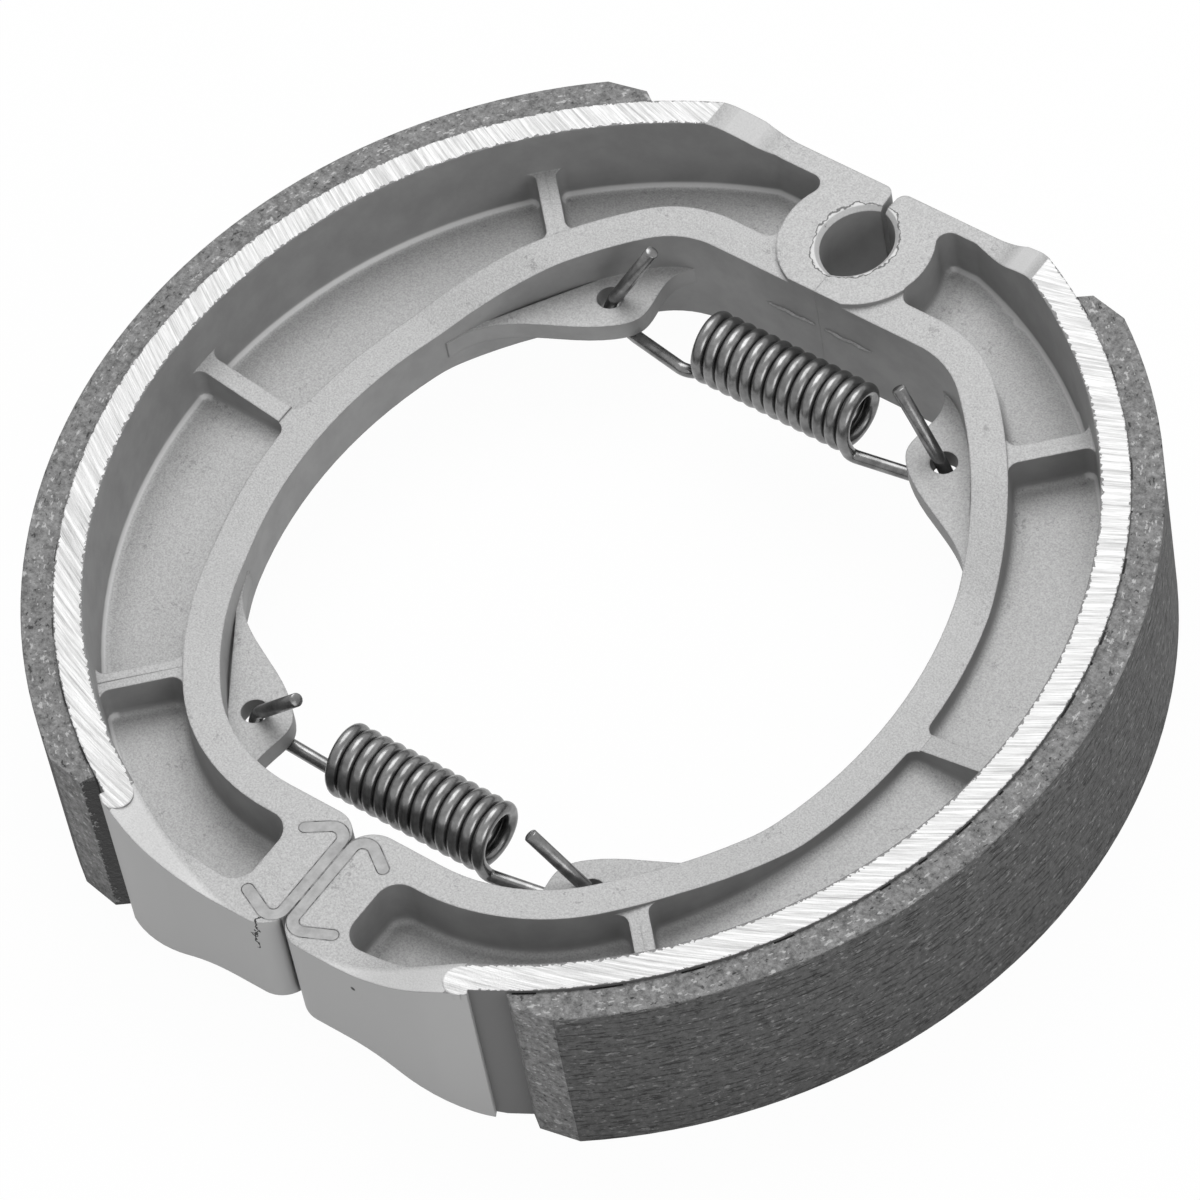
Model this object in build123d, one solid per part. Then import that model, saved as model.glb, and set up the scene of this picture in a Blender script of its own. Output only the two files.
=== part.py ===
from build123d import *
import math
import os

# A pair of cast aluminium drum brake shoes with bonded linings, held together by two
# return springs. Millimetres, +Z up. The origin is midway between the two ends of the
# closed pair, on the plane that the machined rim edges stand on. X = 0 is the parting
# plane, the anchor end is at +Y and the cam end at -Y.

# Friction circle and rim
drum_radius = 80.0
closed_offset = 5.1  # arc centre of each shoe, past the parting plane while the pair is closed
lining_thickness = 4.4
lining_width = 28.3
lining_drop = 0.25  # lining sits this much below the middle of the rim
lining_span = 118.4  # degrees
lining_turn_right = 0.2  # degrees, where each lining was glued on its shoe
lining_turn_left = -1.7
lining_end_height = 2.2
lining_bevel_span = 4.6  # degrees
lining_end_lean = 0.7  # degrees
rim_width = 28.8
rim_thickness = 4.0  # at the machined edge
cast_skin = 0.8  # the as-cast cam end stands this far outside the turned lining seat
seat_end_angle = -62.7  # degrees, the step from turned seat to as-cast surface

# Ends of the shoes
end_flat_depth = 4.6  # the outer end faces cut this much off the circle of the lining seat
end_block_depth = 20.1  # from the outer to the inner face
end_half_height = 9.2  # above the middle of the web
cam_far_half_height = 7.6  # below it, at the cam end
anchor_inner_corner_radius = 13.0
cam_inner_corner_radius = 24.0
outer_corner_radius = 1.4
cam_corner_radius = 4.2  # leaves the bends of the wear plate bare
end_blend_radius = 25.0  # between the outer end faces and the rim
cam_draft = 1.2  # degrees, of the outer wall at the cam end
cam_ramp_start = 13.0
cam_ramp_end = 27.5
cam_far_ramp_end = 31.0
cam_ramp_bend = 20.0
anchor_ramp_start = 19.0
anchor_ramp_end = 26.8
anchor_ramp_bend = 8.0
ramp_crest = 0.4  # the ramps were cast this much over the machined rim edge

# Web, ring and ribs
web_thickness = 3.0
draft = 1.5  # degrees
ring_offset = 17.9  # centre of the ring's own arc, past the parting plane
ring_set_in = 11.1  # from the lining seat's radius to the ring's inner radius
ring_wall = 5.1
ring_low_half_height = 3.8
ring_shoulder_half_height = 7.2
ring_anchor_half_height = 8.6
ring_low_angle = 20.0  # degrees along the ring, where its top starts to rise
ring_shoulder_angle = 36.0
ring_end_angle = 57.0
ring_bend_radius = 18.0
cam_wall = 4.0  # between pocket and outer end face
anchor_wall_right = 2.4
anchor_wall_left = 3.6
cam_block_length = 8.3
pocket_floor_radius = 1.2
rib_corner_radius = 1.6  # at the ring
rim_corner_radius = 1.25
block_corner_radius = 3.0
rib_width = 3.0  # at the web
rib_rim_half_height = 7.1
rib_angle = 45.0  # degrees, either side of the middle rib

# Anchor end
anchor_pin_radius = 6.5
anchor_pin_depth = 10.0  # from the outer end face to the middle of the pin
anchor_centre_past = 1.6  # the notch's centre lies past the parting plane
anchor_boss_radius = 11.0
anchor_lip = 0.6
spread_limit = 6.5  # degrees that the closed pair opens before the outer faces meet
spread_clearance = 0.5  # degrees

# Cam plates
plate_thickness = 1.8
plate_bend_radius = 1.7  # at the middle of the plate
plate_leg = 6.6
plate_inner_leg_angle = 34.0  # degrees from square to the contact face
plate_outer_leg_angle = 24.0
plate_edge_gap = 0.3  # from the outer end face in to the folded plate

# Spring ears: each point is a depth from the ring's inner wall and an angle along the ring
ear_hole_depth = 3.58
ear_hole_angle = 41.54
ear_hole_slack = 0.95  # round the spring wire
ear_root_low = (0.2, 20.3)
ear_waist = (4.1, 31.5)
ear_tip_low = (8.4, 40.6)
ear_tip = (8.2, 44.6)
ear_neck = (4.2, 48.0)
ear_root_high = (1.1, 53.2)

# Return springs
wire_diameter = 1.9
coil_outer_diameter = 10.3
coil_gap = 0.1
hook_span = 30.4  # length that the two hooks take between the holes, at the least
coil_rise = 1.9  # coil axis above the middle of the web
upper_coil_shift = 1.35  # the coils sit this far towards the right shoe
lower_coil_shift = 0.0
wire_clearance = 0.05
hook_inside_radius = 0.35
hook_bend_room = 1.35  # bend radii that the wire runs on for before a bend is complete
hook_lead = 5.0  # the wire lies level under the ear from this far before the hole
hook_corner_past = 1.0  # the hook turns up this far past the middle of the hole
tail_bend_back = 0.7  # and leans back over the hole by this much
tail_bend_rise = 0.2  # above the face of the ear

# The four hooks: where the coil stops round its axis (degrees from +Y towards +Z), the
# straight lead before the first bend, the wire's shift along Y where it goes under the ear,
# and the tail's cut end from the hole: towards the middle, along Y, above the middle of the web
upper_left_hook = (222.0, 0.15, -1.4, (6.3, 3.2, 12.0))
upper_right_hook = (196.0, 0.65, -1.6, (7.0, 1.0, 12.0))
lower_left_hook = (292.0, 0.15, 0.1, (8.5, 0.2, 10.0))
lower_right_hook = (196.0, 0.65, -1.4, (7.7, -1.2, 10.0))

rim_half = rim_width / 2
web_half = web_thickness / 2
seat_radius = drum_radius - lining_thickness
end_reach = seat_radius - end_flat_depth
end_inner_face = end_reach - end_block_depth
anchor_set = end_reach - anchor_pin_depth
rim_inner_radius = seat_radius - rim_thickness
wire_radius = wire_diameter / 2
coil_radius = coil_outer_diameter / 2 - wire_radius
lean = math.tan(math.radians(draft))
rim_root_radius = rim_inner_radius - lean * (rim_half - web_half)
ring_inner_radius = seat_radius - ring_set_in
ring_outer_radius = ring_inner_radius + ring_wall
far = 4 * drum_radius
tall = 2 * rim_width


def polar(radius, angle, centre_x=-closed_offset):
    """Point at a radius and angle about a centre on the X axis."""
    turn = math.radians(angle)
    return (centre_x + radius * math.cos(turn), radius * math.sin(turn))


def along_ring(depth, angle):
    """Point inside the ring, from its depth below the inner wall and its angle."""
    return polar(ring_inner_radius - depth, angle, -ring_offset)


ear_hole_x, ear_hole_y = along_ring(ear_hole_depth, ear_hole_angle)
coil_pitch = wire_diameter + coil_gap
coil_whole_turns = int((2 * ear_hole_x - hook_span) / coil_pitch)


def half_plane(reach, start=0.0):
    """Everything outside x = start, between -reach and reach along Y."""
    return Pos(start, 0) * Rectangle(far, 2 * reach, align=(Align.MIN, Align.CENTER))


def opening_outline(grow=0.0):
    """Clear space inside the ring of one shoe, closed by flats at the two ends."""
    disc = Pos(-ring_offset, 0) * Circle(ring_inner_radius)
    flats = Rectangle(far, 2 * end_inner_face)
    outline = disc & flats
    for side, radius in ((1, anchor_inner_corner_radius), (-1, cam_inner_corner_radius)):
        corner = outline.vertices().sort_by(lambda v: v.X + side * v.Y)[-1]
        outline = fillet(corner, radius)
    return offset(outline, grow) if grow else outline


def spread_relief():
    """Wedge off the anchor end's face outside the pin, so that the pair can open."""
    slope = math.tan(math.radians((spread_limit + spread_clearance) / 2))
    reach = end_reach - anchor_set + 1
    return Polygon(
        (0, anchor_set),
        (reach * slope, anchor_set + reach),
        (-reach, anchor_set + reach),
        (-reach, anchor_set),
        align=None,
    )


def outer_wall():
    """Plan inside the as-cast outer wall: the round of the rim, blended into flat end faces."""
    disc = Pos(-closed_offset, 0) * Circle(seat_radius + cast_skin)
    wall = disc & half_plane(end_reach, -ring_wall)
    return fillet([v for v in wall.vertices() if v.X > 0], end_blend_radius)


def casting_outline():
    """Plan of one shoe casting: rim and both ends, less the space inside the ring."""
    seat_band = Pos(-closed_offset, 0) * (Circle(far) - Circle(seat_radius))
    seat_sector = Polygon(
        (-closed_offset, 0),
        polar(far, seat_end_angle),
        (far, 0),
        polar(far, 90),
        align=None,
    )
    outline = (outer_wall() & half_plane(end_reach)) - (seat_band & seat_sector)
    outline -= opening_outline() + spread_relief()
    parting = [v for v in outline.vertices() if v.X < outer_corner_radius]
    outline = fillet([v for v in parting if v.Y < 0], cam_corner_radius)
    outer = outline.vertices().sort_by(lambda v: v.Y - v.X)[-1]
    return fillet(outer, outer_corner_radius)


def cam_wall_draft():
    """What the draft takes off the outer wall of the cam end, most at the far side."""
    height = end_half_height + rim_half
    base = Plane.XY.offset(-end_half_height)
    drafted = mirror(extrude(base * outer_wall(), height, taper=cam_draft), about=Plane.XY)
    zone = Polygon(
        polar(ring_inner_radius, seat_end_angle),
        polar(far, seat_end_angle),
        (0, -far),
        (0, -end_inner_face - plate_leg),
        align=None,
    )
    return extrude(Plane.XY.offset(-rim_half) * zone, height) - drafted


def sharp_corners(plan):
    """Corners where two edges meet at an angle, leaving out the tangent joins."""
    found = []
    for vertex in plan.vertices():
        point = Vector(*vertex)
        ends = [(e, t) for e in plan.edges() for t in (0, 1) if (e @ t - point).length < 1e-4]
        (a, s), (b, t) = ends
        if 5 < (a % s).get_angle(b % t) < 175:
            found.append(vertex)
    return found


def pocket_outline(anchor_wall):
    """Plan of the sunk pocket between ring and rim, at the level of the web."""
    disc = Pos(-closed_offset, 0) * Circle(rim_root_radius)
    boss = Pos(0, anchor_set) * Circle(anchor_boss_radius)
    length = 2 * end_reach - cam_wall - anchor_wall
    between = Rectangle(far, length, align=(Align.MIN, Align.CENTER))
    cam_block = Rectangle(cam_block_length, far, align=(Align.MIN, Align.MAX))
    room = disc & (Pos(0, (cam_wall - anchor_wall) / 2) * between)
    room -= opening_outline(ring_wall) + boss + cam_block

    # beside the cam block the corners are those that a disc leaves as it rolls round the room
    rolled = offset(offset(room, -block_corner_radius), block_corner_radius)
    zone_width = cam_block_length + block_corner_radius + 1
    zone = Rectangle(zone_width, far, align=(Align.MIN, Align.MAX))
    zone = Pos(0, ring_wall - end_inner_face) * zone
    room = (room - zone) + (rolled & zone)
    return fillet(sharp_corners(room), rib_corner_radius)


def rib_strip(angle, width):
    """Straight strip across the pocket, pointing at the shoe's arc centre."""
    strip = Rectangle(far, width, align=(Align.MIN, Align.CENTER))
    return Pos(-closed_offset, 0) * (Rot(0, 0, angle) * strip)


def rib_root_half_height(angle):
    """Ring height where a rib meets it."""
    return ring_low_half_height if angle == 0 else ring_shoulder_half_height


def rib_block(angle):
    """Everything below the sloping top of a rib."""
    turn = math.radians(angle)
    side = Plane(
        origin=(-closed_offset, 0, 0),
        x_dir=(math.cos(turn), math.sin(turn), 0),
        z_dir=(math.sin(turn), -math.cos(turn), 0),
    )
    start = ring_outer_radius - ring_offset + closed_offset
    root = rib_root_half_height(angle)
    profile = Polygon(
        (0, 0),
        (0, root),
        (start, root),
        (rim_inner_radius, rib_rim_half_height),
        (far, rib_rim_half_height),
        (far, 0),
        align=None,
    )
    return extrude(side * profile, far, both=True)


def pocket_cells(anchor_wall):
    """The four hollows between the ribs, drafted, with rounded corners and floors."""
    plan = pocket_outline(anchor_wall)
    for angle in (-rib_angle, 0.0, rib_angle):
        plan -= rib_strip(angle, rib_width)
    at_rim = rim_root_radius - rib_width
    rim_side = [v for v in sharp_corners(plan) if math.hypot(v.X + closed_offset, v.Y) > at_rim]
    plan = fillet(rim_side, rim_corner_radius)
    plan = fillet(sharp_corners(plan), rib_corner_radius)
    cells = []
    for cell in plan.faces():
        prism = extrude(Plane.XY.offset(web_half) * cell, rim_half, taper=-draft)
        floor = prism.faces().sort_by(Axis.Z)[0]
        cells.append(fillet(floor.edges(), pocket_floor_radius))
    return cells


def pocket_top(anchor_wall):
    """Space over the ribs, deeper over the middle one, with the hollows' drafted walls."""
    prism = extrude(Plane.XY.offset(web_half) * pocket_outline(anchor_wall), rim_half, taper=-draft)
    middle = extrude(Rectangle(far, ring_inner_radius / 2), tall)
    over_middle = (prism & middle) - rib_block(0)
    return [over_middle, prism - rib_block(rib_angle) - rib_block(-rib_angle)]


def ring_top(cam_half_height):
    """Space over the ring: low in the middle, rising in two bends to each end."""
    low = along_ring(0, ring_low_angle)[1]
    shoulder = along_ring(0, ring_shoulder_angle)[1]
    end = along_ring(0, ring_end_angle)[1]
    points = (
        (-far, cam_half_height),
        (-end, cam_half_height),
        (-shoulder, ring_shoulder_half_height),
        (-low, ring_low_half_height),
        (low, ring_low_half_height),
        (shoulder, ring_shoulder_half_height),
        (end, ring_anchor_half_height),
        (far, ring_anchor_half_height),
    )
    crest = FilletPolyline(*points, radius=ring_bend_radius)
    lid = Polyline(points[-1], (far, tall), (-far, tall), points[0])
    side = Plane.YZ * make_face(crest + lid)
    zone = opening_outline(ring_wall + pocket_floor_radius) & half_plane(far, -ring_wall)
    zone -= Pos(0, anchor_set) * Circle(anchor_boss_radius)
    return extrude(side, far) & extrude(zone, tall)


def end_top(side, half_height, ramp_start, ramp_end, bend):
    """Space over one end of the shoe: level at the block, then a bent ramp up to the rim edge."""
    crest = rim_half + ramp_crest
    points = ((-far, half_height), (ramp_start, half_height), (ramp_end, crest), (far, crest))
    ramp = FilletPolyline(*points, radius=bend)
    lid = Polyline(points[-1], (far, tall), (-far, tall), points[0])
    near = end_inner_face - ring_wall
    return Pos(0, side * near, 0) * extrude(Plane.XZ * make_face(ramp + lid), -side * far)


def face_cutters(anchor_wall, cam_half_height, ramp_end):
    """All that is sunk into one face of a casting, as it stands over the web."""
    return pocket_cells(anchor_wall) + pocket_top(anchor_wall) + [
        ring_top(cam_half_height),
        end_top(1, end_half_height, anchor_ramp_start, anchor_ramp_end, anchor_ramp_bend),
        end_top(-1, cam_half_height, cam_ramp_start, ramp_end, cam_ramp_bend),
    ]


def anchor_notch():
    """Part-round seat for the anchor pin, with a small chamfer at each mouth."""
    notch = Cylinder(anchor_pin_radius, tall)
    mouth = Cone(
        anchor_pin_radius,
        anchor_pin_radius + anchor_lip,
        anchor_lip,
        align=(Align.CENTER, Align.CENTER, Align.MAX),
    )
    notch += Pos(0, 0, end_half_height) * mouth
    notch += Pos(0, 0, -end_half_height) * (Rot(180, 0, 0) * mouth)
    return Pos(-anchor_centre_past, anchor_set, 0) * notch


def cam_plate():
    """Steel wear plate: flat contact face with both edges folded back into the casting."""
    middle = plate_thickness / 2
    inner = -end_inner_face - middle
    outer = -end_reach + plate_edge_gap + middle
    inner_turn = math.radians(plate_inner_leg_angle)
    outer_turn = math.radians(plate_outer_leg_angle)
    line = FilletPolyline(
        (middle + plate_leg * math.cos(inner_turn), inner - plate_leg * math.sin(inner_turn)),
        (middle, inner),
        (middle, outer),
        (middle + plate_leg * math.cos(outer_turn), outer + plate_leg * math.sin(outer_turn)),
        radius=plate_bend_radius,
    )
    section = make_face(offset(line, middle, kind=Kind.ARC).edges())
    height = cam_far_half_height + end_half_height
    return Pos(0, 0, -cam_far_half_height) * extrude(section, height)


def spring_ear(side):
    """Thin curved ear inside the ring, with the hole that the spring hooks through."""
    low = along_ring(*ear_root_low)
    high = along_ring(*ear_root_high)
    middle = (along_ring(*point) for point in (ear_waist, ear_tip_low, ear_tip, ear_neck))
    edge = Spline(low, *middle, high)
    back = Polyline(high, (high[0] + ring_wall, high[1]), (low[0] + 1.0, low[1] + 1.0), low)
    hole = Pos(ear_hole_x, ear_hole_y) * Circle(wire_radius + ear_hole_slack)
    ear = extrude(make_face(edge + back) - hole, web_half, both=True)
    return ear if side > 0 else mirror(ear, about=Plane.XZ)


def shoe_casting(anchor_wall):
    """One shoe with its parting plane at x = 0, the web's middle at z = 0."""
    body = extrude(casting_outline(), rim_half, both=True)
    for cutter in face_cutters(anchor_wall, end_half_height, cam_ramp_end):
        body -= cutter
    for cutter in face_cutters(anchor_wall, cam_far_half_height, cam_far_ramp_end):
        body -= mirror(cutter, about=Plane.XY)
    body -= cam_wall_draft()
    body -= anchor_notch()
    body += spring_ear(1)
    body += spring_ear(-1)
    body -= cam_plate()
    return body


def lining():
    """Friction lining: a thick arc strip, its ends cut short and bevelled."""
    low = -lining_span / 2
    high = lining_span / 2
    step = seat_radius + lining_end_height
    outline = [
        RadiusArc(polar(seat_radius, low), polar(seat_radius, high), -seat_radius),
        Line(polar(seat_radius, high), polar(step, high - lining_end_lean)),
        Line(polar(step, high - lining_end_lean), polar(drum_radius, high - lining_bevel_span)),
        RadiusArc(polar(drum_radius, high - lining_bevel_span),
                  polar(drum_radius, low + lining_bevel_span), drum_radius),
        Line(polar(drum_radius, low + lining_bevel_span), polar(step, low + lining_end_lean)),
        Line(polar(step, low + lining_end_lean), polar(seat_radius, low)),
    ]
    return Pos(0, 0, -lining_drop) * extrude(make_face(outline), lining_width / 2, both=True)


def turned_about_arc_centre(piece, angle):
    return Pos(-closed_offset, 0, 0) * (Rot(0, 0, angle) * (Pos(closed_offset, 0, 0) * piece))


def spring_hook(coil_end, along, hook, side, axis_y):
    """Wire from the last turn, under the ear and up through its hole to the cut end."""
    lead, shift, tip = hook[1:]
    bend = wire_radius + hook_inside_radius
    under = -web_half - wire_radius - wire_clearance
    hole = Vector(side * ear_hole_x, axis_y, 0)
    inward = Vector(-side, 0, 0)
    path = FilletPolyline(
        coil_end,
        coil_end + along * (hook_bend_room * bend + lead),
        hole + inward * hook_lead + Vector(0, shift, under),
        hole - inward * hook_corner_past + Vector(0, 0, under),
        hole + inward * tail_bend_back + Vector(0, 0, web_half + tail_bend_rise),
        hole + inward * tip[0] + Vector(0, *tip[1:]),
        radius=bend,
    )
    return sweep(Plane(path @ 0, z_dir=path % 0) * Circle(wire_radius), path=path)


def spring(axis_y, shift, left_hook, right_hook):
    """Close-wound extension spring between the two shoes."""
    length = coil_pitch * (coil_whole_turns + (right_hook[0] - left_hook[0]) % 360 / 360)
    turn = math.radians(left_hook[0])
    start = Plane(
        origin=(shift - length / 2, axis_y, coil_rise),
        x_dir=(0, math.cos(turn), math.sin(turn)),
        z_dir=(1, 0, 0),
    )
    helix = start * Helix(coil_pitch, length, coil_radius)
    section = Plane(helix @ 0, z_dir=helix % 0) * Circle(wire_radius)
    coil = sweep(section, path=helix, is_frenet=True)
    coil += spring_hook(helix @ 0, -(helix % 0), left_hook, -1, axis_y)
    coil += spring_hook(helix @ 1, helix % 1, right_hook, 1, axis_y)
    return coil


plate = cam_plate()
parts = {
    "shoe_right": shoe_casting(anchor_wall_right),
    "shoe_left": mirror(shoe_casting(anchor_wall_left), about=Plane.YZ),
    "cam_plate_right": plate,
    "cam_plate_left": mirror(plate, about=Plane.YZ),
    "lining_right": turned_about_arc_centre(lining(), lining_turn_right),
    "lining_left": mirror(turned_about_arc_centre(lining(), lining_turn_left), about=Plane.YZ),
    "return_spring_upper": spring(ear_hole_y, upper_coil_shift, upper_left_hook, upper_right_hook),
    "return_spring_lower": spring(-ear_hole_y, lower_coil_shift, lower_left_hook, lower_right_hook),
}

os.makedirs("parts", exist_ok=True)
for name, solid in parts.items():
    export_step(Pos(0, 0, rim_half) * solid, f"parts/{name}.step")
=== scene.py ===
"""Looks of a pair of drum brake shoes: blasted aluminium castings with milled rim edges,
bonded friction linings, folded steel wear plates and dark return springs. Metres, +Z up.
X = 0 is the parting plane between the shoes, the anchor end is at +Y and the cam end at -Y."""
import math
from types import SimpleNamespace

import bpy
import numpy as np
from mathutils import Matrix, Vector


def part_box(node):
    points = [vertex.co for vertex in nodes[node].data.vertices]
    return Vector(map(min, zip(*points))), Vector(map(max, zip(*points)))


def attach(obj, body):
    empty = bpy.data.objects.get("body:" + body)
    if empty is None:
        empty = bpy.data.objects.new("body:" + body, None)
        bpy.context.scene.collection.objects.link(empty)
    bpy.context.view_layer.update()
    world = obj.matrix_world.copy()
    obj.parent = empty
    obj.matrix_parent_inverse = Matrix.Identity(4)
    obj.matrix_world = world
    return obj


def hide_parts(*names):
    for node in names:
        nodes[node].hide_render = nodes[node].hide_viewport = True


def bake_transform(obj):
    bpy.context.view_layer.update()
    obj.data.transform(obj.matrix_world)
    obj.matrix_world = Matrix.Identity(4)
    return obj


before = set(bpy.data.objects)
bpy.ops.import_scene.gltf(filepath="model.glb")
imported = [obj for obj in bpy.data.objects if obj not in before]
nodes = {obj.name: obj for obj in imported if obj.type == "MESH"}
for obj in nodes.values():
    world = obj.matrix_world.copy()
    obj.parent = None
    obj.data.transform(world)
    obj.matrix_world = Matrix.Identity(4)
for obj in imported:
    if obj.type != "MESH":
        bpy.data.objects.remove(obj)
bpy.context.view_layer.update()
MM = 0.001

# Sizes of the object, read from the frame where it has them
rim_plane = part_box("shoe_right")[1].z
web_middle = rim_plane / 2
lining_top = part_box("lining_right")[1].z
block_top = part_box("cam_plate_right")[1].z
end_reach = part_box("shoe_right")[1].y
drum_radius = 80.0 * MM
arc_offset = 5.1 * MM  # each shoe's arc centre lies this far past the parting plane
seat_radius = 75.6 * MM
rim_inner_radius = 71.6 * MM
lining_end = math.radians(60.9)  # cam end of the left lining, from its arc centre
pin_x, pin_y, pin_radius = 1.6 * MM, 61.0 * MM, 6.5 * MM  # anchor seat, past the parting plane
seat_end = math.radians(-62.7)  # the turned lining seat stops here, at the cam end
mill_end = (27.9 * MM, -66.6 * MM)  # middle of the round end of the milled band, cam end
mill_end_radius = 2.2 * MM
mill_stop = math.radians(-63.2)  # the straight borders of the milled band stop here
mill_radius = 130.0 * MM  # of the arcs that the face mill left
inner_face = 50.9 * MM  # of the cam end, from the middle of the part


def linear(hex_colour):
    """An sRGB hex colour as linear red, green, blue and alpha."""
    parts = [int(hex_colour[i:i + 2], 16) / 255 for i in (1, 3, 5)]
    return [c / 12.92 if c <= 0.04045 else ((c + 0.055) / 1.055) ** 2.4 for c in parts] + [1.0]


# ---------------------------------------------------------------- materials

def node_adder(tree):
    """The helper that adds a node to one tree, with its settings and links. Inputs are values or
    other nodes' outputs, as a list in order or a dict by socket; a node in the tree can be filled
    the same way."""
    def add(kind, inputs=(), out=0, **settings):
        node = tree.nodes.new("ShaderNode" + kind) if isinstance(kind, str) else kind
        for key, value in settings.items():
            setattr(node, key, value)
        for key, value in (inputs.items() if isinstance(inputs, dict) else enumerate(inputs)):
            if isinstance(value, bpy.types.NodeSocket):
                tree.links.new(value, node.inputs[key])
            elif value is not None:
                node.inputs[key].default_value = value
        return node.outputs[out] if node.outputs else node

    return add


def new_finish(name):
    """A node material, its shader, and the helper that adds nodes to it."""
    material = bpy.data.materials.new(name)
    material.use_nodes = True
    tree = material.node_tree
    return material, tree.nodes["Principled BSDF"], node_adder(tree)


def plan_polar(add):
    """Object coordinates as place, x, y, z and folded, which is |x|, with the reach and the angle
    in plan about the nearer shoe's arc centre."""
    place = add("TexCoord", out="Object")
    x, y, z = (add("SeparateXYZ", [place], out=axis) for axis in "XYZ")
    folded = add("Math", [x], operation="ABSOLUTE")
    across = add("Math", [folded, arc_offset], operation="ADD")
    flat = add("CombineXYZ", [across, y, 0.0])
    reach = add("VectorMath", [flat], out="Value", operation="LENGTH")
    angle = add("Math", [y, across], operation="ARCTAN2")
    return SimpleNamespace(place=place, x=x, y=y, z=z, folded=folded, reach=reach, angle=angle)


def spots(add, place, places_mm, radius_mm):
    """1 inside small round marks at the given points, 0 elsewhere."""
    mark = 0.0
    for point in places_mm:
        far = add("VectorMath", {0: place, 1: [c * MM for c in point]}, out="Value",
                  operation="DISTANCE")
        hit = add("MapRange", [far, radius_mm * MM, radius_mm * MM * 0.6, 0.0, 1.0])
        mark = add("Math", [mark, hit], operation="MAXIMUM")
    return mark


def walls_with_painted_shade(add, at, patches):
    """Drawn walls: smooth grey, painted darker than the flat faces as shade, lighter outside as
    painted light thrown up from the pale floor, and dark where the lining seat was turned.
    """
    end_wall_depth = 3.3 * MM
    floor_light_margin = 0.25 * MM  # walls this far outside the seat are painted lighter, as light thrown up from the pale floor
    # painted shade: the walls' grey is darker than the flat faces', though both are the same
    # casting
    wall = add("Mix", {0: add("MapRange", [patches, 0.35, 0.65, 0.0, 1.0]), 6: linear("#8C8C8C"),
                       7: linear("#969696")}, out=2, data_type="RGBA")
    outside = add("Math", [add("Math", [at.reach, seat_radius + floor_light_margin],
                               operation="GREATER_THAN"),
                           add("Math", [at.y, -end_reach + end_wall_depth],
                               operation="LESS_THAN")], operation="MAXIMUM")
    # painted light: the outer walls and the cam end's walls, which face the pale floor, are made
    # lighter
    wall = add("Mix", {0: outside, 6: wall, 7: linear("#ADADAD")}, out=2, data_type="RGBA")
    seat = add("Math", [add("Math", [at.reach, seat_radius, 0.15 * MM], operation="COMPARE"),
                        add("Math", [at.angle, seat_end], operation="GREATER_THAN")],
               operation="MULTIPLY")
    return add("Mix", {0: seat, 6: wall, 7: linear("#6A6A6A")}, out=2, data_type="RGBA")


def blasted_flats(add, at, grain, patches):
    """Flat faces: sandy grain in two greys, painted lighter than the walls as the lit side, with
    darker scabs of 0.7 mm.
    """
    skin = add("Mix", {0: add("MapRange", [grain, 0.3, 0.7, 0.0, 1.0]), 6: linear("#969696"),
                       7: linear("#B4B4B4")}, out=2, data_type="RGBA")
    scabs = add("TexNoise", [at.place, None, 1 / (0.7 * MM), 3.0, 0.7])
    scabs = add("MapRange", [add("Math", [scabs, patches], operation="ADD"), 1.2, 1.28, 0.0, 0.35])
    return add("Mix", {0: scabs, 6: skin, 7: linear("#5A5A5A")}, out=2, data_type="RGBA")


def painted_cove_highlight(add, at, upright, level, cast):
    """Painted highlight along the coves at the foot of the rim, where they catch the light; the
    rim's upright faces past the milling are made lighter too.
    """
    cove_start, cove_full = rim_inner_radius - 2.2 * MM, rim_inner_radius - 1.8 * MM
    past_start, past_full = -60 * MM, -61 * MM  # along Y, at the cam end
    past_reach = 72.4 * MM
    # painted highlight: faces between wall and upright, next to the rim's foot, are mixed toward a
    # light grey
    cove_highlight = add("Math", [add("MapRange", [upright, 0.92, 0.8, 0.0, 0.7]),
                        add("MapRange", [upright, 0.3, 0.5, 0.0, 1.0])], operation="MULTIPLY")
    by_rim = add("MapRange", [at.reach, cove_start, cove_full, 0.0, 1.0])
    cove_highlight = add("Math", [cove_highlight, by_rim], operation="MULTIPLY")
    past = add("Math", [add("MapRange", [at.y, past_start, past_full, 0.0, 0.45]),
                        add("MapRange", [at.reach, rim_inner_radius, past_reach, 0.0, 1.0])],
               operation="MULTIPLY")
    light = add("Math", [cove_highlight, add("Math", [past, level], operation="MULTIPLY")],
                operation="MAXIMUM")
    return add("Mix", {0: light, 6: cast, 7: linear("#D4D4D4")}, out=2, data_type="RGBA")


def burr_highlight_and_shade(add, at, level, wander, cast):
    """Painted highlight on the ragged burr round the mouth of the anchor seat, with a painted shade
    line outside it.
    """
    from_pin = add("VectorMath", {0: add("CombineXYZ", [at.folded, at.y, 0.0]),
                                  1: (-pin_x, pin_y, 0.0)}, out="Value", operation="DISTANCE")
    from_pin = add("Math", [from_pin, add("MapRange", [wander, 0.3, 0.7, -0.5 * MM, 0.5 * MM])],
                   operation="ADD")
    lip_highlight = add("MapRange", [from_pin, pin_radius + 0.8 * MM, pin_radius + 0.6 * MM, 0.0, 0.7])
    groove_shade = add("Math", [from_pin, pin_radius + 0.85 * MM, 0.1 * MM], operation="COMPARE")
    # painted highlight on the burr's lip
    cast = add("Mix", {0: add("Math", [lip_highlight, level], operation="MULTIPLY"), 6: cast,
                       7: linear("#CACACA")}, out=2, data_type="RGBA")
    # painted shade: a thin dark line just outside the burr
    return add("Mix", {0: add("Math", [groove_shade, level], operation="MULTIPLY"), 6: cast,
                       7: linear("#606060")}, out=2, data_type="RGBA")


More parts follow.
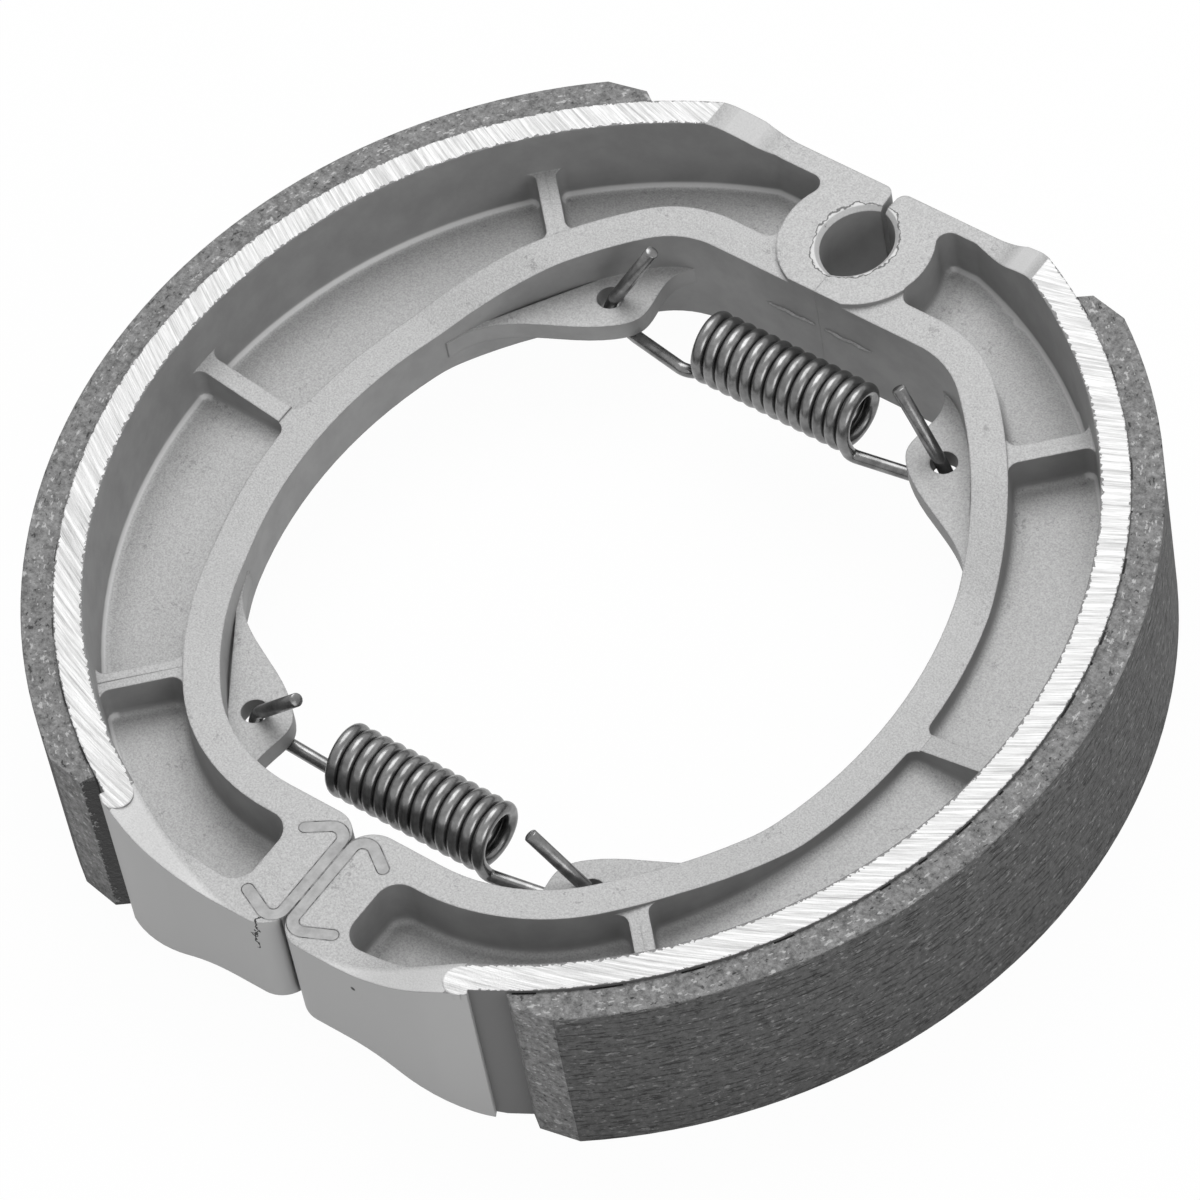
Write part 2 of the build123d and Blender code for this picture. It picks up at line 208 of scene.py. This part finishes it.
def pits_and_crack(add, at, wander, cast):
    """Dark pits of the casting, and the crack down from the left plate's outer bend."""
    pit_radius_mm = 0.45
    crack_y, crack_foot, crack_half_width = -69.6 * MM, 17.5 * MM, 0.13 * MM
    pits = spots(add, at.place, ((-33.5, -50.4, 23.6), (46.0, -36.0, 18.5), (-66.0, 5.0, 15.9),
                                 (12.6, -70.9, 20.6)), pit_radius_mm)
    bent = add("Math", [at.x, add("MapRange", [wander, 0.3, 0.7, 2.2 * MM, 4.0 * MM])],
               operation="ADD")
    crack = add("Math", [bent, 0.0, crack_half_width], operation="COMPARE")
    crack = add("Math", [crack, add("Math", [at.y, crack_y], operation="LESS_THAN")],
                operation="MULTIPLY")
    crack = add("Math", [crack, add("Math", [at.z, crack_foot], operation="GREATER_THAN")],
                operation="MULTIPLY")
    return add("Mix", {0: add("Math", [pits, crack], operation="MAXIMUM"), 6: cast,
                       7: linear("#2A2A2A")}, out=2, data_type="RGBA")


def milled_band(add, at, flat):
    """1 on the rim plane where the mill ran: frayed along both borders, round at the cam end."""
    fray = add("TexNoise", [at.place, None, 1 / (0.8 * MM), 2.0, 0.6])
    inner = add("MapRange", [fray, 0.35, 0.65, rim_inner_radius, rim_inner_radius + 0.5 * MM])
    outer = add("MapRange", [fray, 0.35, 0.65, seat_radius - 0.3 * MM, seat_radius + 0.2 * MM])
    band = add("Math", [add("Math", [at.reach, inner], operation="GREATER_THAN"),
                        add("Math", [at.reach, outer], operation="LESS_THAN")],
               operation="MULTIPLY")
    band = add("Math", [band, add("Math", [at.angle, mill_stop], operation="GREATER_THAN")],
               operation="MULTIPLY")
    from_end = add("VectorMath", {0: add("CombineXYZ", [at.folded, at.y, 0.0]),
                                  1: mill_end + (0.0,)}, out="Value", operation="DISTANCE")
    round_end = add("Math", [from_end, mill_end_radius + 0.05 * MM], operation="LESS_THAN")
    return add("Math", [flat, add("Math", [band, round_end], operation="MAXIMUM")],
               operation="MULTIPLY")


def mill_marks(add, at):
    """Tool marks: arcs of one face mill of radius R fed along Y, so y + sqrt(R^2 - x^2) is level
    on each. They are 0.5 mm apart, coarser than the real ones, so that they show."""
    drift = 0.03  # how little the marks change along themselves
    rise = add("Math", [mill_radius ** 2, add("Math", [at.x, 2.0], operation="POWER")],
               operation="SUBTRACT")
    feed = add("Math", [at.y, add("Math", [rise], operation="SQRT")], operation="ADD")
    along = add("Math", [at.x, drift], operation="MULTIPLY")
    marks_at = add("CombineXYZ", [feed, along, 0.0])
    return add("TexNoise", [marks_at, None, 1 / (0.5 * MM), 5.0, 0.8])


def blasted_aluminium():
    """Cast aluminium, shot-blasted: matt light grey with a fine sandy grain on the flat faces,
    smoother drawn walls, and rim edges milled bright with long diagonal tool marks."""
    material, shader, add = new_finish("blasted cast aluminium")
    at = plan_polar(add)
    normal = add("TexCoord", out="Normal")
    upright = add("Math", [add("SeparateXYZ", [normal], out="Z")], operation="ABSOLUTE")
    level = add("MapRange", [upright, 0.5, 0.8, 0.0, 1.0])
    off_middle = add("Math", [add("Math", [at.z, web_middle], operation="SUBTRACT")],
                     operation="ABSOLUTE")
    on_rim_plane = add("Math", [off_middle, web_middle - 0.03 * MM], operation="GREATER_THAN")

    # sandy grain of the blasted skin, 0.25 mm, over soft patches of 5 mm
    grain = add("TexNoise", [at.place, None, 1 / (0.25 * MM), 2.0, 0.6])
    patches = add("TexNoise", [at.place, None, 1 / (5 * MM), 3.0, 0.6])
    wander = add("TexNoise", [at.place, None, 1 / (2.5 * MM), 3.0, 0.6])

    # flat faces and walls by how upright the face is: a lit copy and a painted-shade copy of one
    # casting
    cast = add("Mix", {0: level, 6: walls_with_painted_shade(add, at, patches),
                       7: blasted_flats(add, at, grain, patches)}, out=2, data_type="RGBA")
    # painted highlight in the coves at the rim's foot
    cast = painted_cove_highlight(add, at, upright, level, cast)
    # painted highlight on the anchor seat's burr and painted shade outside it
    cast = burr_highlight_and_shade(add, at, level, wander, cast)
    cast = pits_and_crack(add, at, wander, cast)
    cast = add("Mix", {0: add("Math", [on_rim_plane, 0.7], operation="MULTIPLY"), 6: cast,
                       7: linear("#5A5A5A")}, out=2, data_type="RGBA")
    milled = milled_band(add, at, on_rim_plane)
    marks = mill_marks(add, at)
    bright = add("Mix", {0: add("MapRange", [marks, 0.32, 0.6, 0.0, 1.0]), 6: linear("#8E8E8E"),
                         7: linear("#D8D8D8")}, out=2, data_type="RGBA")
    add(shader, {
        "Base Color": add("Mix", {0: milled, 6: cast, 7: bright}, out=2, data_type="RGBA"),
        "Metallic": 0.3,
        "Roughness": add("MapRange", [milled, 0.0, 1.0, 0.6, 0.5]),
    })

    # relief: full grain on flat faces, little on walls, and the cuts of the mill on the band
    rough = add("Math", [grain, add("MapRange", [level, 0.0, 1.0, 0.12, 1.0])],
                operation="MULTIPLY")
    cuts = add("Math", [marks, add("Math", [milled, 0.7], operation="MULTIPLY")],
               operation="MULTIPLY")
    add(shader, {"Normal": add("Bump", {
        "Height": add("Math", [rough, cuts], operation="ADD"), "Distance": 0.07 * MM,
        "Strength": 0.8, "Normal": add("Bevel", [0.3 * MM], samples=3)})})
    return material


def wear_steel():
    """Cold-rolled steel strip cast into the shoe: plain grey, smooth, faintly scuffed."""
    material, shader, add = new_finish("cold-rolled wear plate")
    place = add("TexCoord", out="Object")
    scuffs = add("TexNoise", [place, None, 1 / (1.5 * MM), 4.0, 0.6])
    tone = add("Mix", {0: add("MapRange", [scuffs, 0.3, 0.7, 0.0, 1.0]), 6: linear("#7E7E7E"),
                       7: linear("#979797")}, out=2, data_type="RGBA")
    bump = add("Bump", {"Height": scuffs, "Distance": 0.04 * MM, "Strength": 0.5})
    add(shader, {"Base Color": tone, "Metallic": 0.3, "Roughness": 0.5, "Normal": bump})
    return material


def friction_composite():
    """Moulded brake lining: grey resin and fibre with pale and dark flecks. Its running face is
    ground darker with fine broken scratches round the drum, and black adhesive shows at the
    joint with the rim and over the cam end of the left lining."""
    material, shader, add = new_finish("moulded friction lining")
    at = plan_polar(add)
    fibre = add("TexNoise", [at.place, None, 1 / (0.9 * MM), 4.0, 0.75])
    round_drum = add("Math", [at.angle, drum_radius], operation="MULTIPLY")
    dash_at = add("CombineXYZ", [add("Math", [round_drum, 0.45], operation="MULTIPLY"), at.z,
                                   at.reach])
    speck = add("TexNoise", [dash_at, None, 1 / (0.55 * MM), 2.0, 0.6])
    torn = add("MapRange", [fibre, 0.35, 0.65, 0.4 * MM, -0.1 * MM])
    ground = add("Math", [add("Math", [at.reach, drum_radius - 0.06 * MM],
                              operation="GREATER_THAN"),
                          add("Math", [add("Math", [torn, at.z], operation="ADD"), lining_top],
                              operation="LESS_THAN")], operation="MULTIPLY")
    matrix = add("Mix", {0: add("MapRange", [fibre, 0.35, 0.65, 0.0, 1.0]), 6: linear("#5C5C5C"),
                         7: linear("#929292")}, out=2, data_type="RGBA")
    scratch_at = add("CombineXYZ", [add("Math", [round_drum, 0.12], operation="MULTIPLY"), at.z,
                                      0.0])
    scratches = add("TexNoise", [scratch_at, None, 1 / (0.45 * MM), 3.0, 0.7])
    worn = add("Mix", {0: add("MapRange", [fibre, 0.3, 0.7, 0.0, 1.0]), 6: linear("#434343"),
                       7: linear("#666666")}, out=2, data_type="RGBA")
    lines = add("MapRange", [scratches, 0.36, 0.46, 0.8, 0.0])
    rubbed = add("Mix", {0: lines, 6: worn, 7: linear("#222222")}, out=2, data_type="RGBA")
    body = add("Mix", {0: ground, 6: matrix, 7: rubbed}, out=2, data_type="RGBA")
    sharp = add("Math", [speck, add("Math", [fibre, 0.35], operation="MULTIPLY")],
                operation="ADD")
    pale = add("Math", [add("MapRange", [sharp, 0.8, 0.86, 0.0, 0.75]),
                        add("MapRange", [ground, 0.0, 1.0, 1.0, 0.35])], operation="MULTIPLY")
    dark = add("MapRange", [sharp, 0.53, 0.46, 0.0, 0.8])
    body = add("Mix", {0: pale, 6: body, 7: linear("#BEBEBE")}, out=2, data_type="RGBA")
    body = add("Mix", {0: dark, 6: body, 7: linear("#262626")}, out=2, data_type="RGBA")

    # adhesive: a broken black line at the joint, and a run over the left lining's cam end
    gap = add("TexNoise", [add("CombineXYZ", [round_drum, 0.0, 0.0]), None, 1 / (6 * MM), 2.0, 0.5])
    line = add("Math", [add("Math", [gap, 0.54], operation="GREATER_THAN"),
                        add("Math", [at.reach, seat_radius + 0.28 * MM], operation="LESS_THAN")],
               operation="MULTIPLY")
    ragged = add("MapRange", [fibre, 0.3, 0.7, -0.9 * MM, 0.9 * MM])
    low = add("Math", [add("Math", [at.reach, ragged], operation="ADD"), seat_radius + 2.2 * MM],
              operation="LESS_THAN")
    end = add("Math", [at.angle, -lining_end + 0.012], operation="LESS_THAN")
    left = add("Math", [at.x, 0.0], operation="LESS_THAN")
    run = add("Math", [add("Math", [low, end], operation="MULTIPLY"), left], operation="MULTIPLY")
    glue = add("Math", [line, run], operation="MAXIMUM")
    add(shader, {
        "Base Color": add("Mix", {0: glue, 6: body, 7: linear("#121212")}, out=2,
                          data_type="RGBA"),
        "Roughness": add("MapRange", [glue, 0.0, 1.0, 0.8, 0.3]),
        "Specular IOR Level": 0.3,
    })
    deep = add("Math", [lines, ground], operation="MULTIPLY")
    height = add("Math", [fibre, add("Math", [deep, -0.8], operation="MULTIPLY")], operation="ADD")
    add(shader, {"Normal": add("Bump", {
        "Height": height, "Distance": 0.16 * MM, "Strength": 0.9,
        "Normal": add("Bevel", [0.3 * MM], samples=3)})})
    return material


def spring_steel():
    """Oil-hardened spring wire: dark, hard and glossy, with a faint cloudy tone and relief."""
    material, shader, add = new_finish("oil-hardened spring wire")
    place = add("TexCoord", out="Object")
    cloud = add("TexNoise", [place, None, 1 / (2.0 * MM), 4.0, 0.6])
    tone = add("Mix", {0: add("MapRange", [cloud, 0.3, 0.7, 0.0, 1.0]), 6: linear("#5E5E5E"),
                       7: linear("#8C8C8C")}, out=2, data_type="RGBA")
    bump = add("Bump", {"Height": cloud, "Distance": 0.03 * MM, "Strength": 0.3})
    add(shader, {"Base Color": tone, "Metallic": 0.85, "Roughness": 0.27, "Normal": bump})
    return material


def painted_crevice_shade():
    """Painted shade of the fine crevice where the aluminium shrank round the steel plate: dark,
    closed in places.
    """
    material, shader, add = new_finish("casting seam")
    place = add("TexCoord", out="Object")
    shut = add("TexNoise", [place, None, 1 / (1.6 * MM), 3.0, 0.6])
    # painted shade of the crevice, broken where it is closed
    tone = add("Mix", {0: add("MapRange", [shut, 0.4, 0.6, 0.0, 1.0]), 6: linear("#444444"),
                       7: linear("#8E8E8E")}, out=2, data_type="RGBA")
    add(shader, {"Base Color": tone, "Roughness": 0.9})
    return material


casting = blasted_aluminium()
plate = wear_steel()
lining = friction_composite()
wire = spring_steel()
# painted shade: dark strips along the wear plates' crevices
seam_shade = painted_crevice_shade()
for name, finish in {
    "shoe_left": casting, "shoe_right": casting, "cam_plate_left": plate, "cam_plate_right": plate,
    "lining_left": lining, "lining_right": lining,
}.items():
    nodes[name].data.materials.clear()
    nodes[name].data.materials.append(finish)


# ---------------------------------------------------------------- pieces

def grid_object(name, points, finish, close_across=False, smooth=True):
    """A mesh from an array of points [along, across, 3] in metres; quads join neighbours."""
    rows, columns = points.shape[:2]
    index = np.arange(rows * columns).reshape(rows, columns)
    if close_across:
        index = np.hstack([index, index[:, :1]])
    quads = np.stack([index[:-1, :-1], index[:-1, 1:], index[1:, 1:], index[1:, :-1]], axis=-1)
    mesh = bpy.data.meshes.new(name)
    mesh.from_pydata(points.reshape(-1, 3), [], quads.reshape(-1, 4))
    mesh.polygons.foreach_set("use_smooth", [smooth] * len(mesh.polygons))
    mesh.materials.append(finish)
    obj = bpy.data.objects.new(name, mesh)
    bpy.context.scene.collection.objects.link(obj)
    return obj


def unit(v):
    """Vectors of length 1 that point the same way."""
    return v / np.linalg.norm(v, axis=-1, keepdims=True)


def rounded_path(corners, radius, steps):
    """Straight runs joined by arcs of one radius. An arc leaves each run r/tan(a) before the
    corner c, where u and v point back along the runs and 2a is the angle between them, and it
    turns about c + r/sin(a) (u + v)/|u + v|."""
    path = [corners[:1]]
    for before, corner, after in zip(corners, corners[1:], corners[2:]):
        u, v = unit(before - corner), unit(after - corner)
        half = math.acos(float(np.clip(u @ v, -1, 1))) / 2
        centre = corner + unit(u + v) * radius / math.sin(half)
        first = corner + u * radius / math.tan(half) - centre
        last = corner + v * radius / math.tan(half) - centre
        turn = math.pi - 2 * half
        t = np.linspace(0, 1, steps)[:, None]
        path.append(centre + (np.sin((1 - t) * turn) * first + np.sin(t * turn) * last)
                    / math.sin(turn))
    path.append(corners[-1:])
    return np.vstack(path)


def swept_wire(name, path, radius, sides, nip=0.12):
    """A round wire along a path, rings turned by the least rotation from one to the next, its
    two cut ends closed with a small rounded rim: radius r, then r - nip, then the middle."""
    tangent = unit(np.gradient(path, axis=0))
    across = [unit(np.cross(tangent[0], (0.3, 0.5, 0.8)))]
    for t in tangent[1:]:
        across.append(unit(across[-1] - t * (across[-1] @ t)))
    across = np.array(across)
    other = np.cross(tangent, across)
    # end caps: rings that close on the middle
    path = np.vstack([path[:1], path[:1], path, path[-1:], path[-1:]])
    size = np.full(len(path), radius)
    size[[0, -1]] = 0.0
    size[[1, -2]] = radius * (1 - nip)
    pad = ((2, 2), (0, 0))
    across, other, tangent = (np.pad(a, pad, mode="edge") for a in (across, other, tangent))
    path[2] += tangent[2] * radius * nip
    path[-3] -= tangent[-3] * radius * nip
    phi = np.linspace(0, 2 * math.pi, sides, endpoint=False)[None, :, None]
    ring = np.cos(phi) * across[:, None] + np.sin(phi) * other[:, None]
    return grid_object(name, (path[:, None] + ring * size[:, None, None]) * MM, wire, True)


# The springs, as in the CAD part: wire and coil in millimetres, heights above the web's middle
wire_radius = 0.95
coil_radius = 4.2
coil_pitch = 2.0
coil_turns = 12
coil_rise = 1.9
hole_x, hole_y = 27.7, 40.4
hook_bend = 1.3
web_half = 1.5
under_ear = -web_half - wire_radius - 0.05


def hook_path(coil_end, leaving, side, axis_y, lead, shift, tip):
    """Wire from the last turn under the ear and up through its hole to the cut end."""
    hole = np.array((side * hole_x, axis_y, 0.0))
    inward = np.array((-side, 0.0, 0.0))
    return rounded_path(np.array([
        coil_end,
        coil_end + leaving * (1.35 * hook_bend + lead),
        hole + inward * 5.0 + (0, shift, under_ear),
        hole - inward * 1.0 + (0, 0, under_ear),
        hole + inward * 0.7 + (0, 0, web_half + 0.2),
        hole + inward * tip[0] + (0, tip[1], tip[2]),
    ]), hook_bend, 9)[1:]


def return_spring(name, axis_y, shift, left, right):
    """Coil x = x0 + p t, y = R cos(a0 + 2 pi t), z = R sin(a0 + 2 pi t) with a hook at each end.
    left and right: angle at which the coil ends, then the hook's lead, shift and cut end."""
    turns = coil_turns + (right[0] - left[0]) % 360 / 360
    t = np.linspace(0, turns, round(turns * 40) + 1)
    a = math.radians(left[0]) + 2 * math.pi * t
    x = shift + coil_pitch * (t - turns / 2)
    coil = np.stack([x, axis_y + coil_radius * np.cos(a), coil_rise + coil_radius * np.sin(a)], 1)
    leave_left, leave_right = unit(coil[0] - coil[1]), unit(coil[-1] - coil[-2])
    path = np.vstack([hook_path(coil[0], leave_left, -1, axis_y, *left[1:])[::-1], coil,
                      hook_path(coil[-1], leave_right, 1, axis_y, *right[1:])])
    spring = swept_wire(name, path + (0, 0, web_middle / MM), wire_radius, 16)
    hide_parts("return_" + name)
    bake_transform(spring)


def seam_shade_lines(side, body):
    """Fine dark line of painted shade, standing for the crevice, just inside the border of a wear
    plate's
    top face: the plate's middle line offset by d to both sides and round its two ends, d from 0.77
    to 0.9 of a millimetre."""
    half, leg, bend, edge_gap = 0.9, 6.6, 1.7, 0.3  # as in the CAD part, in millimetres
    inner, outer = -inner_face / MM - half, -end_reach / MM + edge_gap + half
    a, b = math.radians(34), math.radians(24)  # of the inner and the outer leg
    lift = 0.012 * MM  # above the plate, so that the line shows
    middle = rounded_path(np.array([
        (half + leg * math.cos(a), inner - leg * math.sin(a), 0.0), (half, inner, 0.0),
        (half, outer, 0.0), (half + leg * math.cos(b), outer + leg * math.sin(b), 0.0)]), bend, 12)
    tangent = unit(np.gradient(middle, axis=0))
    normal = np.stack([-tangent[:, 1], tangent[:, 0], tangent[:, 2]], 1)
    cap = np.linspace(0, math.pi, 9)[1:-1, None]
    start = -np.sin(cap) * tangent[0] - np.cos(cap) * normal[0]
    stop = np.sin(cap) * tangent[-1] + np.cos(cap) * normal[-1]
    ways = np.vstack([normal, stop, -normal[::-1], start, normal[:1]])
    at = np.vstack([middle, np.repeat(middle[-1:], 7, 0), middle[::-1],
                    np.repeat(middle[:1], 7, 0), middle[:1]])
    rows = np.stack([at + ways * 0.9, at + ways * 0.77], 1) * (side, 1, 1) * MM
    rows[..., 2] = block_top + lift
    if side > 0:
        rows = rows[:, ::-1]
    line = grid_object(f"plate_seam_shade_{body}", rows, seam_shade, smooth=False)
    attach(line, body)


def parting_ridge(side, body):
    """Thin flash left by the mould's joint on the anchor end's inner face: a low bead, 8 mm long,
    whose width 0.4 (1 - s^6) mm tapers at both ends and wavers a little."""
    s = np.linspace(-1, 1, 40)[:, None]
    phi = np.linspace(0, math.pi, 7)[None, :]
    middle, half_length, joint_height = 4.7, 4.1, 15.8
    width = 0.4 * (1 - s ** 6) * (1 + 0.25 * np.sin(9 * s) * np.sin(23 * s))
    x = side * (middle + half_length * s) + 0 * phi
    y = inner_face / MM - width * np.sin(phi)
    z = joint_height + 0.12 * np.sin(7 * s) + 0.6 * width * np.cos(phi) * side
    bead = grid_object(f"flash_{body}", np.stack([x, y, z], 2) * MM, casting)
    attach(bead, body)


def milled_end(side, body):
    """Round end of the milled band: half a short drum whose flat top is level with the band, with
    the rings (r, z) = (0, top), (R, top), (R, top - depth) over 200 degrees, past the band."""
    half_turn = 1.75  # radians
    lift, depth = 0.015, 1.2  # millimetres above the band, and down into the casting
    along = math.atan2(mill_end[1], mill_end[0] + arc_offset) - math.pi / 2
    phi = np.linspace(along - half_turn, along + half_turn, 32)[None, :]
    radius = np.array([0.0, mill_end_radius, mill_end_radius])[:, None]
    x = side * (mill_end[0] + radius * np.cos(phi))
    y = mill_end[1] + radius * np.sin(phi)
    z = rim_plane + np.array([lift, lift, -depth])[:, None] * MM + 0 * phi
    rings = np.stack([x, y, z], 2)[:, ::-side]
    drum = grid_object(f"milled_end_{body}", rings, casting, smooth=False)
    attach(drum, body)


return_spring("spring_upper", hole_y, 1.35, (222.0, 0.15, -1.4, (6.3, 3.2, 12.0)),
              (196.0, 0.65, -1.6, (7.0, 1.0, 12.0)))
return_spring("spring_lower", -hole_y, 0.0, (292.0, 0.15, 0.1, (8.5, 0.2, 10.0)),
              (196.0, 0.65, -1.4, (7.7, -1.2, 10.0)))
for side, body in ((1, "right_shoe"), (-1, "left_shoe")):
    seam_shade_lines(side, body)
    parting_ridge(side, body)
    milled_end(side, body)


# ---------------------------------------------------------------- studio

def seen_directly(add):
    """1 for the rays that show the background: from the camera, off gloss and through glass."""
    rays = [add("LightPath", out=name) for name in ("Is Camera Ray", "Is Glossy Ray",
                                                    "Is Transmission Ray")]
    return add("Math", [add("Math", rays[:2], operation="MAXIMUM"), rays[2]],
               operation="MAXIMUM")


def pale_floor():
    """A wide pale sheet under the part: white to the camera, still dimmed by its shadow."""
    material, shader, add = new_finish("pale studio paper")
    add(shader, {"Base Color": linear("#E6E6E6"), "Roughness": 0.9})
    glow = add("Emission", {"Color": linear("#FFFFFF"), "Strength": 1.0})
    share = add("Math", [seen_directly(add), 0.97], operation="MULTIPLY")
    both = add("MixShader", [share, shader.outputs[0], glow])
    add(material.node_tree.nodes["Material Output"], {"Surface": both})
    half = 4.0
    corners = np.array([[(-half, -half, 0), (half, -half, 0)], [(-half, half, 0), (half, half, 0)]])
    grid_object("floor", corners, material, smooth=False)


def soft_light(name, place, size, power):
    """A square softbox at place, turned to the middle of the part."""
    light = bpy.data.lights.new(name, "AREA")
    light.shape = "SQUARE"
    light.size = size
    light.energy = power
    lamp = bpy.data.objects.new(name, light)
    lamp.location = place
    lamp.rotation_mode = "QUATERNION"
    lamp.rotation_quaternion = (Vector(place) - Vector((0, 0, web_middle))).to_track_quat("Z", "Y")
    bpy.context.scene.collection.objects.link(lamp)


def white_room():
    """Even grey light from all round, and plain white where the background itself is seen."""
    world = bpy.data.worlds.new("studio")
    bpy.context.scene.world = world
    world.use_nodes = True
    tree = world.node_tree
    add = node_adder(tree)
    room = add(tree.nodes["Background"], {"Color": linear("#FFFFFF"), "Strength": 0.45})
    white = add("Background", {"Color": linear("#FFFFFF"), "Strength": 1.0})
    both = add("MixShader", [seen_directly(add), room, white])
    add(tree.nodes["World Output"], {"Surface": both})


# The photograph's camera: where it stood, what it looked at and how far it was rolled
camera_place = Vector((463.8, -462.0, 879.1)) * MM
camera_target = Vector((0.08, -2.65, 14.4)) * MM
camera_roll = math.radians(-11.6)
camera_focal = 8150.7  # in pixels of the photograph
photo_width = 1200.0
photo_centre = (591.3, 607.1)  # pixel that the lens looks straight at


def photo_camera():
    """The camera that took the photograph, its frame shifted to the pixel it looks straight at."""
    camera = bpy.data.cameras.new("camera")
    camera.sensor_width = 36.0
    camera.lens = camera_focal / photo_width * camera.sensor_width
    camera.shift_x = (photo_width / 2 - photo_centre[0]) / photo_width
    camera.shift_y = (photo_centre[1] - photo_width / 2) / photo_width
    viewer = bpy.data.objects.new("camera", camera)
    viewer.location = camera_place
    level = (camera_place - camera_target).to_track_quat("Z", "Y").to_matrix()
    viewer.rotation_euler = (level @ Matrix.Rotation(camera_roll, 3, "Z")).to_euler()
    bpy.context.scene.collection.objects.link(viewer)
    bpy.context.scene.camera = viewer


pale_floor()
white_room()
soft_light("overhead softbox", (-0.25, 0.45, 0.9), 0.8, 8.0)
soft_light("fill softbox", (0.95, -0.25, 0.5), 0.6, 3.2)
photo_camera()
bpy.context.scene.view_settings.view_transform = "Standard"
